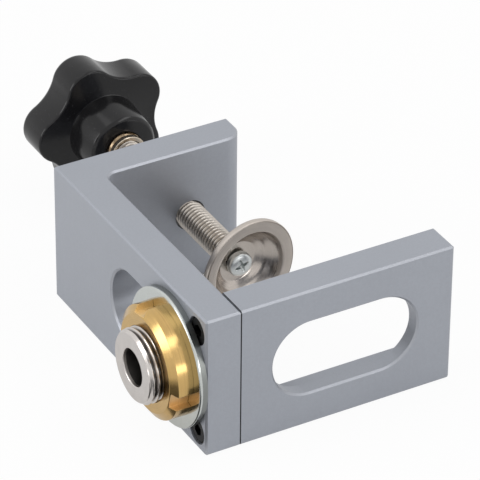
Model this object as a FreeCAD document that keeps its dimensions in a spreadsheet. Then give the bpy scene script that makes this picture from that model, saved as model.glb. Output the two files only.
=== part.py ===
import FreeCAD, Part
import Sketcher
import math
import os

# Doweling jig: an L-shaped plate with a clamp screw in its back arm, a windowed fence
# screwed to the plate's front end, and a drill bush that slides in the plate's slot.
# Frame: X along the fence, Y from the fence towards the knob, Z up, millimetres.
# The origin is the centre of the jig's foot print, on the surface it stands on.
# Pieces are drawn from the plate's outer front bottom corner and then moved there.

doc = FreeCAD.newDocument("doweling_jig")
sheet = doc.addObject("Spreadsheet::Sheet", "size")

SIZES = [
    # L-shaped plate
    ("plate_thick", 9.75, "long plate, thickness along X"),
    ("plate_long", 81.1, "long plate, length along Y"),
    ("plate_high", 40.0, "height of plate, arm and fence"),
    ("arm_thick", 9.7, "back arm, thickness along Y"),
    ("arm_reach", 50.6, "back arm, reach from the outer face"),
    ("inner_fillet", 3.0, "fillet between plate and arm"),
    ("toe_radius", 5.0, "round on the arm's free end"),
    ("edge_break", 0.5, "chamfer on the plates' edges"),
    # slot for the bush, with the wider step that holds its flange
    ("slot_gap", 0.6, "gap between bush and slot"),
    ("slot_near", 16.6, "slot, centre of its near round end"),
    ("slot_far", 39.6, "slot, centre of its far round end"),
    ("flange_side", 0.4, "gap between flange and step"),
    ("flange_sunk", 0.2, "flange below the plate's inner face"),
    # fence
    ("fence_thick", 10.0, "fence, thickness along Y"),
    ("fence_long", 60.84, "fence, length from the plate"),
    ("window_near", 9.15, "fence between plate and window"),
    ("window_end", 10.19, "fence beyond the window"),
    ("window_high", 21.2, "window, height"),
    ("window_lip", 4.0, "window's own wall, before the recess behind it"),
    ("recess_near", 8.65, "fence between plate and recess"),
    ("recess_end", 5.8, "fence beyond the recess"),
    ("recess_high", 25.8, "recess, height"),
    ("recess_round", 3.0, "round of the recess's corners"),
    # socket head screws that hold the fence
    ("screw_inset", 4.7, "fence screws from the front face"),
    ("screw_edge", 5.2, "fence screws from the plate's long edges"),
    ("screw_dia", 4.0, "fence screw, thread"),
    ("screw_slack", 0.25, "gap round the screw in the plate"),
    ("screw_shank", 12.0, "fence screw, length under its head"),
    ("screw_head_dia", 7.0, "fence screw, head"),
    ("screw_head_high", 4.0, "fence screw, head height"),
    ("socket_flats", 3.0, "hexagon socket across its flats"),
    ("socket_deep", 2.0, "hexagon socket, depth"),
    ("head_sunk", 0.3, "head below the plate's outer face"),
    ("head_gap", 0.3, "gap round the head in its counterbore"),
    ("tapped_spare", 1.0, "tapped hole past the screw's end"),
    ("head_break", 0.3, "chamfer on the fence screw's head"),
    # drill bush
    ("bush_at", 17.2, "bush axis from the jig's front face"),
    ("bore_dia", 10.0, "drill bore"),
    ("bore_break", 0.2, "chamfer at the bore's mouths"),
    ("bush_dia", 19.8, "bush thread"),
    ("bush_out", 3.5, "bush beyond the lock nut"),
    ("bush_break", 0.85, "chamfer at the bush's thread end"),
    ("flange_lip", 2.1, "bush flange beyond the thread"),
    ("flange_thick", 3.0, "bush flange, thickness"),
    # washer and slotted lock nut
    ("washer_dia", 36.7, "washer"),
    ("washer_slack", 0.5, "gap between bush and washer"),
    ("washer_thick", 2.2, "washer, thickness"),
    ("washer_break", 0.5, "washer, broken front edge"),
    ("nut_wall", 5.05, "lock nut, wall round its thread"),
    ("nut_high", 5.6, "lock nut, height"),
    ("nut_bevel_long", 1.45, "lock nut bevel, along the axis"),
    ("nut_bevel_deep", 2.15, "lock nut bevel, inwards"),
    ("nut_slot_wide", 4.9, "spanner slot, width"),
    ("nut_slot_deep", 2.0, "spanner slot, depth"),
    ("nut_slot_count", 3, "spanner slots"),
    ("nut_turned", 75.5, "first spanner slot, degrees from +Y"),
    # clamp screw
    ("clamp_at", 34.6, "clamp axis from the outer face"),
    ("rod_dia", 7.8, "clamp screw thread"),
    ("rod_free", 60.0, "clamp screw between cup and knob"),
    ("rod_in_knob", 16.0, "clamp screw inside the knob"),
    ("rod_break", 1.0, "chamfer at the clamp screw's free end"),
    ("thread_gap", 0.05, "radial gap of a thread in its hole"),
    ("hole_break", 0.4, "chamfer at the clamp hole's mouths"),
    # swivelling pressure cup and the screw that keeps it on
    ("jaw_gap", 30.9, "fence to the cup's rim"),
    ("cup_dia", 28.1, "cup over its rim"),
    ("cup_flange", 3.25, "flat rim round the bowl"),
    ("cup_waist", 3.0, "step in from the bowl's mouth to its waist"),
    ("cup_waist_deep", 4.2, "rim to waist"),
    ("cup_floor", 11.2, "flat floor of the bowl"),
    ("cup_deep", 5.6, "rim to floor"),
    ("cup_sheet", 1.2, "wall of the cup"),
    ("cup_rim", 1.8, "rim, thickness along the axis"),
    ("cup_hole_gap", 0.7, "gap round the retaining screw"),
    ("cup_play", 0.6, "play on each side of the cup's floor"),
    ("cup_lean_side", 8.2, "lean of the cup to +X, degrees"),
    ("cup_lean_up", 0.5, "lean of the cup upwards, degrees"),
    ("pan_dia", 6.8, "retaining screw, pan head"),
    ("pan_high", 2.2, "retaining screw, head height"),
    ("pan_break", 0.8, "retaining screw, bevel of the head"),
    ("pan_thread", 4.0, "retaining screw, thread"),
    ("pan_shank", 12.0, "retaining screw, length under its head"),
    ("cross_long", 3.9, "cross recess, length"),
    ("cross_wide", 0.9, "cross recess, width"),
    ("cross_deep", 1.4, "cross recess, depth"),
    # star knob with its moulded-in insert
    ("hub_long", 11.7, "hub, length from the star"),
    ("hub_tip_dia", 19.2, "hub at its end"),
    ("hub_root_dia", 20.8, "hub at the star"),
    ("hub_break", 0.9, "bevel at the hub's end"),
    ("star_thick", 11.3, "star, thickness"),
    ("star_reach", 19.6, "lobe tip from the axis"),
    ("valley_deep", 3.9, "lobe tip to valley"),
    ("lobe_radius", 7.0, "round of a lobe"),
    ("lobe_count", 5, "lobes"),
    ("star_front_break", 0.5, "bevel of the star's edge at the arm side"),
    ("star_back_break", 1.4, "bevel of the star's outer edge"),
    ("knob_turned", 34.5, "first lobe, degrees from +X"),
    ("insert_wall", 1.15, "insert, wall"),
    ("insert_out", 2.5, "insert beyond the hub"),
    ("insert_in", 9.0, "insert inside the hub"),
    ("insert_collar", 1.5, "collar at the insert's end, along the axis"),
    ("insert_neck", 0.6, "neck between collar and hub, inwards"),
    ("bore_spare", 0.5, "knob bore past the clamp screw's end"),
]

for row, (alias, amount, meaning) in enumerate(SIZES, start=1):
    sheet.set(f"A{row}", meaning)
    sheet.set(f"B{row}", str(amount))
    sheet.setAlias(f"B{row}", alias)
doc.recompute()

# Positions that follow from the sizes
MID_HEIGHT = "size.plate_high / 2"
ROD_BORE = "(size.rod_dia / 2 + size.thread_gap)"
INSERT_RADIUS = f"({ROD_BORE} + size.insert_wall)"
FENCE_SCREWS = (("upper", "size.plate_high - size.screw_edge"), ("lower", "size.screw_edge"))
FLANGE_DIA = "(size.bush_dia + 2 * size.flange_lip)"
NUT_BORE = "(size.bush_dia / 2 + size.thread_gap)"
NUT_RADIUS = f"({NUT_BORE} + size.nut_wall)"
BUSH_REACH = "(size.washer_thick + size.nut_high + size.bush_out)"
STEP_DEEP = "(size.flange_thick + size.flange_sunk)"
HEAD_DEEP = "(size.screw_head_high + size.head_sunk)"
CUP_PIVOT = "(size.fence_thick + size.jaw_gap + size.cup_deep + size.cup_sheet / 2)"
HEAD_SEAT = f"({CUP_PIVOT} - size.cup_sheet / 2 - size.cup_play)"
ROD_FRONT = f"({CUP_PIVOT} + size.cup_sheet / 2 + size.cup_play)"
HUB_TIP = f"({ROD_FRONT} + size.rod_free)"
KNOB_BACK = f"({HUB_TIP} + size.hub_long + size.star_thick)"
FRAME_X = f"(size.plate_thick + size.fence_long - {BUSH_REACH}) / 2"
FRAME_Y = f"({KNOB_BACK} + min(0; size.bush_at - size.washer_dia / 2)) / 2"


def number(formula):
    return float(sheet.evalExpression(str(formula)))


def new_body(label, x="0", y="0", z="0"):
    body = doc.addObject("PartDesign::Body", label)
    body.Label = label
    body.setExpression("Placement.Base.x", f"{x} - {FRAME_X}")
    body.setExpression("Placement.Base.y", f"{y} - {FRAME_Y}")
    body.setExpression("Placement.Base.z", z)
    return body


def new_sketch(body, name, role, offset=None):
    plane = [item for item in body.Origin.OriginFeatures if item.Role == role][0]
    sketch = body.newObject("Sketcher::SketchObject", name)
    sketch.AttachmentSupport = (plane, [""])
    sketch.MapMode = "FlatFace"
    if offset:
        sketch.setExpression("AttachmentOffset.Base.z", offset)
    return sketch


def drive(sketch, constraint, formula):
    index = sketch.addConstraint(constraint)
    sketch.setExpression(f"Constraints[{index}]", formula)


def pin_point(sketch, geometry, point, across, up):
    # holds a point at its two distances from the sketch's origin
    for kind, axis, formula in (("DistanceX", -2, across), ("DistanceY", -1, up)):
        if formula == "0":
            sketch.addConstraint(Sketcher.Constraint("PointOnObject", geometry, point, axis))
        else:
            held = Sketcher.Constraint(kind, -1, 1, geometry, point, number(formula))
            drive(sketch, held, formula)


def outline(sketch, corners):
    # closed run of straight lines through corners, given as pairs of formulas
    points = [FreeCAD.Vector(number(across), number(up), 0) for across, up in corners]
    count = len(points)
    for i in range(count):
        sketch.addGeometry(Part.LineSegment(points[i], points[(i + 1) % count]))
    for i in range(count):
        sketch.addConstraint(Sketcher.Constraint("Coincident", i, 2, (i + 1) % count, 1))
    for i, (across, up) in enumerate(corners):
        pin_point(sketch, i, 1, across, up)


def circle(sketch, across, up, diameter):
    centre = FreeCAD.Vector(number(across), number(up), 0)
    radius = number(diameter) / 2
    index = sketch.addGeometry(Part.Circle(centre, FreeCAD.Vector(0, 0, 1), radius))
    pin_point(sketch, index, 3, across, up)
    drive(sketch, Sketcher.Constraint("Diameter", index, 2 * radius), diameter)


def obround(sketch, first, last, up, width):
    # straight sides with round ends, centred at first and last
    left = FreeCAD.Vector(number(first), number(up), 0)
    right = FreeCAD.Vector(number(last), number(up), 0)
    radius = number(width) / 2
    above = FreeCAD.Vector(0, radius, 0)
    normal = FreeCAD.Vector(0, 0, 1)
    quarter = math.pi / 2
    left_end = Part.ArcOfCircle(Part.Circle(left, normal, radius), quarter, 3 * quarter)
    right_end = Part.ArcOfCircle(Part.Circle(right, normal, radius), -quarter, quarter)
    sketch.addGeometry(left_end)
    sketch.addGeometry(Part.LineSegment(left - above, right - above))
    sketch.addGeometry(right_end)
    sketch.addGeometry(Part.LineSegment(right + above, left + above))
    for i in range(4):
        sketch.addConstraint(Sketcher.Constraint("Tangent", i, 2, (i + 1) % 4, 1))
    pin_point(sketch, 0, 3, first, up)
    pin_point(sketch, 2, 3, last, up)
    drive(sketch, Sketcher.Constraint("Diameter", 0, 2 * radius), width)


def extrude(kind, body, name, sketch, length, backwards=False):
    feature = body.newObject(f"PartDesign::{kind}", name)
    feature.Profile = sketch
    feature.setExpression("Length", length)
    feature.Reversed = backwards
    doc.recompute()
    return feature


def cut(body, name, sketch, length, backwards=False):
    # a pocket that has to take material away
    before = body.Shape.Volume
    feature = extrude("Pocket", body, name, sketch, length, backwards)
    if body.Shape.Volume >= before:
        raise RuntimeError(f"{name} cuts nothing")
    return feature


def turn(body, name, profile, axis):
    # full revolution of a profile given as pairs of (along the axis, radius)
    sketch = new_sketch(body, f"{name}_profile", "XY_Plane")
    if axis == "H_Axis":
        outline(sketch, profile)
    else:
        outline(sketch, [(radius, along) for along, radius in profile])
    feature = body.newObject("PartDesign::Revolution", name)
    feature.Profile = sketch
    feature.ReferenceAxis = (sketch, [axis])
    feature.Angle = 360
    doc.recompute()
    return feature


def dress(kind, body, name, size, wanted):
    # fillet or chamfer on those edges of the body that pass the test
    base = body.Tip
    names = [f"Edge{i}" for i, edge in enumerate(base.Shape.Edges, start=1) if wanted(edge)]
    if not names:
        raise RuntimeError(f"{name} finds no edge")
    feature = body.newObject(f"PartDesign::{kind}", name)
    feature.Base = (base, names)
    feature.setExpression("Radius" if kind == "Fillet" else "Size", size)
    doc.recompute()
    return feature


def around(body, name, feature, role, count):
    # repeats a feature evenly round one of the body's axes
    axis = [item for item in body.Origin.OriginFeatures if item.Role == role][0]
    pattern = body.newObject("PartDesign::PolarPattern", name)
    pattern.Originals = [feature]
    pattern.Axis = (axis, [""])
    pattern.Angle = 360
    pattern.setExpression("Occurrences", count)
    body.Tip = pattern
    doc.recompute()
    return pattern


def near(a, b):
    return abs(a - b) < 0.001


def flat_at(edge, direction, place):
    # true where the whole edge lies at one place along a direction
    box = edge.BoundBox
    low = {"x": box.XMin, "y": box.YMin, "z": box.ZMin}[direction]
    high = {"x": box.XMax, "y": box.YMax, "z": box.ZMax}[direction]
    return near(low, place) and near(high, place)


def upright_at(edge, x, y):
    return flat_at(edge, "x", x) and flat_at(edge, "y", y)


def ring_at(edge, direction, place, radius):
    return (flat_at(edge, direction, place) and hasattr(edge.Curve, "Radius")
            and near(edge.Curve.Radius, radius))


# L-shaped plate, one piece
plate = new_body("body")
plan = new_sketch(plate, "plate_plan", "XY_Plane")
ARM_FACE = "size.plate_long - size.arm_thick"
outline(plan, [
    ("0", "0"),
    ("size.plate_thick", "0"),
    ("size.plate_thick", ARM_FACE),
    ("size.arm_reach", ARM_FACE),
    ("size.arm_reach", "size.plate_long"),
    ("0", "size.plate_long"),
])
extrude("Pad", plate, "plate_block", plan, "size.plate_high")
arm_face = number(ARM_FACE)
thick = number("size.plate_thick")
reach = number("size.arm_reach")
high = number("size.plate_high")
dress("Fillet", plate, "corner_fillet", "size.inner_fillet",
      lambda edge: upright_at(edge, thick, arm_face))
dress("Fillet", plate, "toe", "size.toe_radius",
      lambda edge: upright_at(edge, reach, arm_face))
dress("Chamfer", plate, "plate_edges", "size.edge_break",
      lambda edge: flat_at(edge, "z", 0) or flat_at(edge, "z", high)
      or upright_at(edge, 0, 0))

slot = new_sketch(plate, "slot_outline", "YZ_Plane")
obround(slot, "size.slot_near", "size.slot_far", MID_HEIGHT,
        "size.bush_dia + 2 * size.slot_gap")
cut(plate, "slot", slot, "size.plate_thick", backwards=True)
dress("Chamfer", plate, "slot_edge", "size.edge_break",
      lambda edge: flat_at(edge, "x", 0) and edge.BoundBox.YMin > number("size.edge_break")
      and edge.BoundBox.YMax < arm_face and edge.BoundBox.ZMin > number("size.edge_break")
      and edge.BoundBox.ZMax < high - number("size.edge_break"))
step = new_sketch(plate, "step_outline", "YZ_Plane", "size.plate_thick")
obround(step, "size.slot_near", "size.slot_far", MID_HEIGHT,
        f"{FLANGE_DIA} + 2 * size.flange_side")
cut(plate, "flange_step", step, STEP_DEEP)

# two counterbored holes for the fence screws
for level, height in FENCE_SCREWS:
    hole = new_sketch(plate, f"{level}_hole_outline", "YZ_Plane")
    circle(hole, "size.screw_inset", height, "size.screw_dia + 2 * size.screw_slack")
    cut(plate, f"{level}_hole", hole, "size.plate_thick", backwards=True)
    counterbore = new_sketch(plate, f"{level}_counterbore_outline", "YZ_Plane")
    circle(counterbore, "size.screw_inset", height,
           "size.screw_head_dia + 2 * size.head_gap")
    cut(plate, f"{level}_counterbore", counterbore, HEAD_DEEP, backwards=True)

# threaded hole for the clamp screw, through the back arm
clamp_hole = new_sketch(plate, "clamp_hole_outline", "XZ_Plane", "-size.plate_long")
circle(clamp_hole, "size.clamp_at", MID_HEIGHT, f"2 * {ROD_BORE}")
cut(plate, "clamp_hole", clamp_hole, "size.arm_thick", backwards=True)
hole_radius = number(ROD_BORE)
plate_long = number("size.plate_long")
dress("Chamfer", plate, "clamp_hole_mouths", "size.hole_break",
      lambda edge: ring_at(edge, "y", arm_face, hole_radius)
      or ring_at(edge, "y", plate_long, hole_radius))

# fence with its window, flush with the plate's front end
fence = new_body("fence_plate", x="size.plate_thick")
fence_plan = new_sketch(fence, "fence_plan", "XY_Plane")
outline(fence_plan, [
    ("0", "0"),
    ("size.fence_long", "0"),
    ("size.fence_long", "size.fence_thick"),
    ("0", "size.fence_thick"),
])
extrude("Pad", fence, "fence_block", fence_plan, "size.plate_high")
window = new_sketch(fence, "window_outline", "XZ_Plane")
obround(window, "size.window_near + size.window_high / 2",
        "size.fence_long - size.window_end - size.window_high / 2",
        MID_HEIGHT, "size.window_high")
cut(fence, "window", window, "size.fence_thick")
# wider rectangular recess behind the window, from the side that meets the work
recess = new_sketch(fence, "recess_outline", "XZ_Plane", "-size.fence_thick")
RECESS_FAR = "size.fence_long - size.recess_end"
RECESS_LOW = f"({MID_HEIGHT} - size.recess_high / 2)"
RECESS_TOP = f"({MID_HEIGHT} + size.recess_high / 2)"
outline(recess, [
    ("size.recess_near", RECESS_LOW),
    (RECESS_FAR, RECESS_LOW),
    (RECESS_FAR, RECESS_TOP),
    ("size.recess_near", RECESS_TOP),
])
cut(fence, "window_recess", recess, "size.fence_thick - size.window_lip", backwards=True)
recess_ends = (number("size.recess_near"), number(RECESS_FAR))
recess_levels = (number(RECESS_LOW), number(RECESS_TOP))
dress("Fillet", fence, "recess_corners", "size.recess_round",
      lambda edge: any(flat_at(edge, "x", x) and flat_at(edge, "z", z)
                       for x in recess_ends for z in recess_levels))
fence_long = number("size.fence_long")
fence_thick = number("size.fence_thick")
dress("Chamfer", fence, "fence_edges", "size.edge_break",
      lambda edge: not flat_at(edge, "x", 0)
      and (flat_at(edge, "y", 0) or flat_at(edge, "y", fence_thick)
           or flat_at(edge, "x", fence_long)))
GRIP = f"(size.plate_thick - {HEAD_DEEP})"
for level, height in FENCE_SCREWS:
    tapped = new_sketch(fence, f"{level}_tapped_outline", "YZ_Plane")
    circle(tapped, "size.screw_inset", height, "size.screw_dia + 2 * size.thread_gap")
    cut(fence, f"{level}_tapped_hole", tapped,
        f"size.screw_shank - {GRIP} + size.tapped_spare", backwards=True)


# socket head screw, its head towards -X and drawn from the top of the head
def fence_screw(label, height):
    body = new_body(label, x="size.head_sunk", y="size.screw_inset", z=height)
    turn(body, f"{label}_turned", [
        ("0", "0"),
        ("0", "size.screw_head_dia / 2 - size.head_break"),
        ("size.head_break", "size.screw_head_dia / 2"),
        ("size.screw_head_high", "size.screw_head_dia / 2"),
        ("size.screw_head_high", "size.screw_dia / 2"),
        ("size.screw_head_high + size.screw_shank", "size.screw_dia / 2"),
        ("size.screw_head_high + size.screw_shank", "0"),
    ], "H_Axis")
    hexagon = new_sketch(body, f"{label}_hexagon", "YZ_Plane")
    corner = "size.socket_flats / 2 / cos(30)"
    half = "size.socket_flats / 2"
    outline(hexagon, [
        (half, f"{corner} / 2"),
        ("0", corner),
        (f"-{half}", f"{corner} / 2"),
        (f"-{half}", f"-{corner} / 2"),
        ("0", f"-{corner}"),
        (half, f"-{corner} / 2"),
    ])
    cut(body, f"{label}_socket", hexagon, "size.socket_deep", backwards=True)


for level, height in FENCE_SCREWS:
    fence_screw(f"fence_screw_{level}", height)

# drill bush, drawn from the plate's outer face; its flange sits in the slot's step
bush = new_body("drill_bush", y="size.bush_at", z=MID_HEIGHT)
FLANGE_SEAT = f"size.plate_thick - {STEP_DEEP}"
turn(bush, "bush_turned", [
    (f"-{BUSH_REACH}", "size.bore_dia / 2 + size.bore_break"),
    (f"-{BUSH_REACH}", "size.bush_dia / 2 - size.bush_break"),
    (f"-{BUSH_REACH} + size.bush_break", "size.bush_dia / 2"),
    (FLANGE_SEAT, "size.bush_dia / 2"),
    (FLANGE_SEAT, f"{FLANGE_DIA} / 2"),
    (f"{FLANGE_SEAT} + size.flange_thick", f"{FLANGE_DIA} / 2"),
    (f"{FLANGE_SEAT} + size.flange_thick", "size.bore_dia / 2 + size.bore_break"),
    (f"{FLANGE_SEAT} + size.flange_thick - size.bore_break", "size.bore_dia / 2"),
    (f"-{BUSH_REACH} + size.bore_break", "size.bore_dia / 2"),
], "H_Axis")

# stamped washer with a broken front edge
washer = new_body("washer", y="size.bush_at", z=MID_HEIGHT)
turn(washer, "washer_turned", [
    ("-size.washer_thick", "size.bush_dia / 2 + size.washer_slack"),
    ("-size.washer_thick", "size.washer_dia / 2 - size.washer_break"),
    ("-size.washer_thick + size.washer_break", "size.washer_dia / 2"),
    ("0", "size.washer_dia / 2"),
    ("0", "size.bush_dia / 2 + size.washer_slack"),
], "H_Axis")

# round lock nut with spanner slots, drawn from its seat on the washer
nut = new_body("lock_nut", x="-size.washer_thick", y="size.bush_at", z=MID_HEIGHT)
turn(nut, "nut_turned_form", [
    ("-size.nut_high", NUT_BORE),
    ("-size.nut_high", f"{NUT_RADIUS} - size.nut_bevel_deep"),
    ("-size.nut_high + size.nut_bevel_long", NUT_RADIUS),
    ("0", NUT_RADIUS),
    ("0", NUT_BORE),
], "H_Axis")
spanner_slot = new_sketch(nut, "spanner_slot_outline", "YZ_Plane")
outline(spanner_slot, [
    (f"{NUT_RADIUS} - size.nut_slot_deep", "-size.nut_slot_wide / 2"),
    (f"{NUT_RADIUS} + size.nut_slot_deep", "-size.nut_slot_wide / 2"),
    (f"{NUT_RADIUS} + size.nut_slot_deep", "size.nut_slot_wide / 2"),
    (f"{NUT_RADIUS} - size.nut_slot_deep", "size.nut_slot_wide / 2"),
])
slot_cut = cut(nut, "spanner_slot", spanner_slot, "size.nut_high")
around(nut, "spanner_slots", slot_cut, "X_Axis", "size.nut_slot_count")
nut.setExpression("Placement.Rotation.Angle", "size.nut_turned")
nut.Placement.Rotation.Axis = FreeCAD.Vector(1, 0, 0)

# clamp screw, drawn from the end that carries the cup
rod = new_body("clamp_screw", x="size.clamp_at", y=ROD_FRONT, z=MID_HEIGHT)
ROD_END = "(size.rod_free + size.rod_in_knob)"
TAPPED = "size.pan_thread / 2 + size.thread_gap"
TAPPED_DEEP = ("(size.pan_shank - size.cup_sheet - 2 * size.cup_play"
               " + size.tapped_spare)")
turn(rod, "rod_turned", [
    ("0", TAPPED),
    ("0", "size.rod_dia / 2 - size.rod_break"),
    ("size.rod_break", "size.rod_dia / 2"),
    (ROD_END, "size.rod_dia / 2"),
    (ROD_END, "0"),
    (TAPPED_DEEP, "0"),
    (TAPPED_DEEP, TAPPED),
], "V_Axis")

# pressure cup, drawn from the middle of its floor and open towards the fence
cup = new_body("pressure_cup", x="size.clamp_at", y=CUP_PIVOT, z=MID_HEIGHT)
FLOOR_FRONT = "(-size.cup_sheet / 2)"
FLOOR_BACK = "(size.cup_sheet / 2)"
RIM_FRONT = f"({FLOOR_FRONT} - size.cup_deep)"
RIM_BACK = f"({RIM_FRONT} + size.cup_rim)"
MOUTH = "(size.cup_dia / 2 - size.cup_flange)"
WAIST = f"({MOUTH} - size.cup_waist)"
turn(cup, "cup_turned", [
    (RIM_FRONT, MOUTH),
    (RIM_FRONT, "size.cup_dia / 2"),
    (RIM_BACK, "size.cup_dia / 2"),
    (RIM_BACK, f"{MOUTH} + size.cup_sheet / 2"),
    (f"{RIM_FRONT} + size.cup_waist_deep + size.cup_sheet", f"{WAIST} + size.cup_sheet"),
    (FLOOR_BACK, "size.cup_floor / 2 + size.cup_sheet / 2"),
    (FLOOR_BACK, "size.pan_thread / 2 + size.cup_hole_gap"),
    (FLOOR_FRONT, "size.pan_thread / 2 + size.cup_hole_gap"),
    (FLOOR_FRONT, "size.cup_floor / 2"),
    (f"{RIM_FRONT} + size.cup_waist_deep", WAIST),
], "V_Axis")
# the loose cup hangs a little askew on its screw
cup.setExpression("Placement.Rotation", "rotation(size.cup_lean_side; 0; -size.cup_lean_up)")

# pan head screw with a cross recess, drawn from its seat, head towards the fence
pan = new_body("cup_screw", x="size.clamp_at", y=HEAD_SEAT, z=MID_HEIGHT)
turn(pan, "pan_turned", [
    ("-size.pan_high", "0"),
    ("-size.pan_high", "size.pan_dia / 2 - size.pan_break"),
    ("-size.pan_high + size.pan_break", "size.pan_dia / 2"),
    ("0", "size.pan_dia / 2"),
    ("0", "size.pan_thread / 2"),
    ("size.pan_shank", "size.pan_thread / 2"),
    ("size.pan_shank", "0"),
], "V_Axis")
cross = new_sketch(pan, "cross_outline", "XZ_Plane", "size.pan_high")
END = "size.cross_long / 2"
SIDE = "size.cross_wide / 2"
outline(cross, [
    (END, SIDE), (SIDE, SIDE), (SIDE, END),
    (f"-{SIDE}", END), (f"-{SIDE}", SIDE), (f"-{END}", SIDE),
    (f"-{END}", f"-{SIDE}"), (f"-{SIDE}", f"-{SIDE}"), (f"-{SIDE}", f"-{END}"),
    (SIDE, f"-{END}"), (SIDE, f"-{SIDE}"), (END, f"-{SIDE}"),
])
cut(pan, "cross_recess", cross, "size.cross_deep")

# star knob, drawn from the end of its hub; the star is one lobe repeated round the axis
knob = new_body("star_knob", x="size.clamp_at", y=HUB_TIP, z=MID_HEIGHT)
star = new_sketch(knob, "lobe_outline", "XZ_Plane", "-size.hub_long")
half_step = math.pi / number("size.lobe_count")
lobe = number("size.lobe_radius")
lobe_centre = number("size.star_reach - size.lobe_radius")
valley = number("size.star_reach - size.valley_deep")
# the valley's arc touches the lobe's arc: this solves the triangle of both centres
hollow = ((valley ** 2 + lobe_centre ** 2 - lobe ** 2
           - 2 * valley * lobe_centre * math.cos(half_step))
          / (2 * (lobe + lobe_centre * math.cos(half_step) - valley)))
centre = FreeCAD.Vector(lobe_centre, 0, 0)
upper_dir = FreeCAD.Vector(math.cos(half_step), math.sin(half_step), 0)
lower_dir = FreeCAD.Vector(math.cos(half_step), -math.sin(half_step), 0)
upper_centre = upper_dir * (valley + hollow)
lower_centre = lower_dir * (valley + hollow)
upward = FreeCAD.Vector(0, 0, 1)
touch = math.atan2((upper_centre - centre).y, (upper_centre - centre).x)
star.addGeometry(Part.LineSegment(FreeCAD.Vector(), lower_dir * valley))
star.addGeometry(Part.ArcOfCircle(Part.Circle(lower_centre, upward, hollow),
                                  math.pi - touch, math.pi - half_step))
star.addGeometry(Part.ArcOfCircle(Part.Circle(centre, upward, lobe), -touch, touch))
star.addGeometry(Part.ArcOfCircle(Part.Circle(upper_centre, upward, hollow),
                                  math.pi + half_step, math.pi + touch))
star.addGeometry(Part.LineSegment(upper_dir * valley, FreeCAD.Vector()))
star.addConstraint(Sketcher.Constraint("Coincident", 0, 1, -1, 1))
star.addConstraint(Sketcher.Constraint("Coincident", 4, 2, -1, 1))
star.addConstraint(Sketcher.Constraint("Coincident", 0, 2, 1, 2))
star.addConstraint(Sketcher.Constraint("Coincident", 4, 1, 3, 1))
star.addConstraint(Sketcher.Constraint("Tangent", 1, 1, 2, 1))
star.addConstraint(Sketcher.Constraint("Tangent", 2, 2, 3, 2))
star.addConstraint(Sketcher.Constraint("PointOnObject", 1, 3, 0))
star.addConstraint(Sketcher.Constraint("PointOnObject", 3, 3, 4))
star.addConstraint(Sketcher.Constraint("PointOnObject", 2, 3, -1))
star.addConstraint(Sketcher.Constraint("Equal", 0, 4))
drive(star, Sketcher.Constraint("DistanceX", -1, 1, 2, 3, lobe_centre),
      "size.star_reach - size.lobe_radius")
drive(star, Sketcher.Constraint("Radius", 2, lobe), "size.lobe_radius")
drive(star, Sketcher.Constraint("Distance", 4, valley), "size.star_reach - size.valley_deep")
drive(star, Sketcher.Constraint("Angle", 0, 1, 4, 2, 2 * half_step),
      "360 deg / size.lobe_count")
lobe_pad = extrude("Pad", knob, "lobe", star, "size.star_thick", backwards=True)
around(knob, "lobes", lobe_pad, "Y_Axis", "size.lobe_count")
star_front = number("size.hub_long")
star_back = number("size.hub_long + size.star_thick")
dress("Chamfer", knob, "star_front_edge", "size.star_front_break",
      lambda edge: flat_at(edge, "y", star_front))
dress("Chamfer", knob, "star_back_edge", "size.star_back_break",
      lambda edge: flat_at(edge, "y", star_back))
turn(knob, "hub", [
    ("0", "0"),
    ("0", "size.hub_tip_dia / 2 - size.hub_break"),
    ("size.hub_break", "size.hub_tip_dia / 2"),
    ("size.hub_long", "size.hub_root_dia / 2"),
    ("size.hub_long + size.star_front_break", "size.hub_root_dia / 2"),
    ("size.hub_long + size.star_front_break", "0"),
], "V_Axis")
insert_seat = new_sketch(knob, "insert_seat_outline", "XZ_Plane")
circle(insert_seat, "0", "0", f"2 * ({INSERT_RADIUS} + size.thread_gap)")
cut(knob, "insert_seat", insert_seat, "size.insert_in")
rod_bore = new_sketch(knob, "rod_bore_outline", "XZ_Plane")
circle(rod_bore, "0", "0", f"2 * {ROD_BORE}")
cut(knob, "rod_bore", rod_bore, "size.rod_in_knob + size.bore_spare")
knob.setExpression("Placement.Rotation.Angle", "size.knob_turned")
knob.Placement.Rotation.Axis = FreeCAD.Vector(0, -1, 0)

# metal insert that carries the clamp screw in the knob; its collar stands off the hub
insert = new_body("knob_insert", x="size.clamp_at", y=HUB_TIP, z=MID_HEIGHT)
NECK = f"({INSERT_RADIUS} - size.insert_neck)"
turn(insert, "insert_turned", [
    ("-size.insert_out", ROD_BORE),
    ("-size.insert_out", INSERT_RADIUS),
    ("-size.insert_out + size.insert_collar", INSERT_RADIUS),
    ("-size.insert_out + size.insert_collar", NECK),
    ("0", NECK),
    ("0", INSERT_RADIUS),
    ("size.insert_in", INSERT_RADIUS),
    ("size.insert_in", ROD_BORE),
], "V_Axis")

doc.recompute()

# every feature must have built, and every piece must be one sound solid
pieces = [item for item in doc.Objects if item.TypeId == "PartDesign::Body"]
for item in doc.Objects:
    if "Invalid" in item.State or "Error" in item.State:
        raise RuntimeError(f"{item.Label} failed")
for piece in pieces:
    shape = piece.Shape
    if shape.isNull() or not shape.isValid() or len(shape.Solids) != 1:
        raise RuntimeError(f"{piece.Label} is not one valid solid")

os.makedirs("parts", exist_ok=True)
for piece in pieces:
    piece.Shape.exportStep(f"parts/{piece.Label}.step")
    print(piece.Label, round(piece.Shape.Volume, 1))
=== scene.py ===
import bmesh
import bpy
import math
from mathutils import Matrix, Vector


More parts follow.
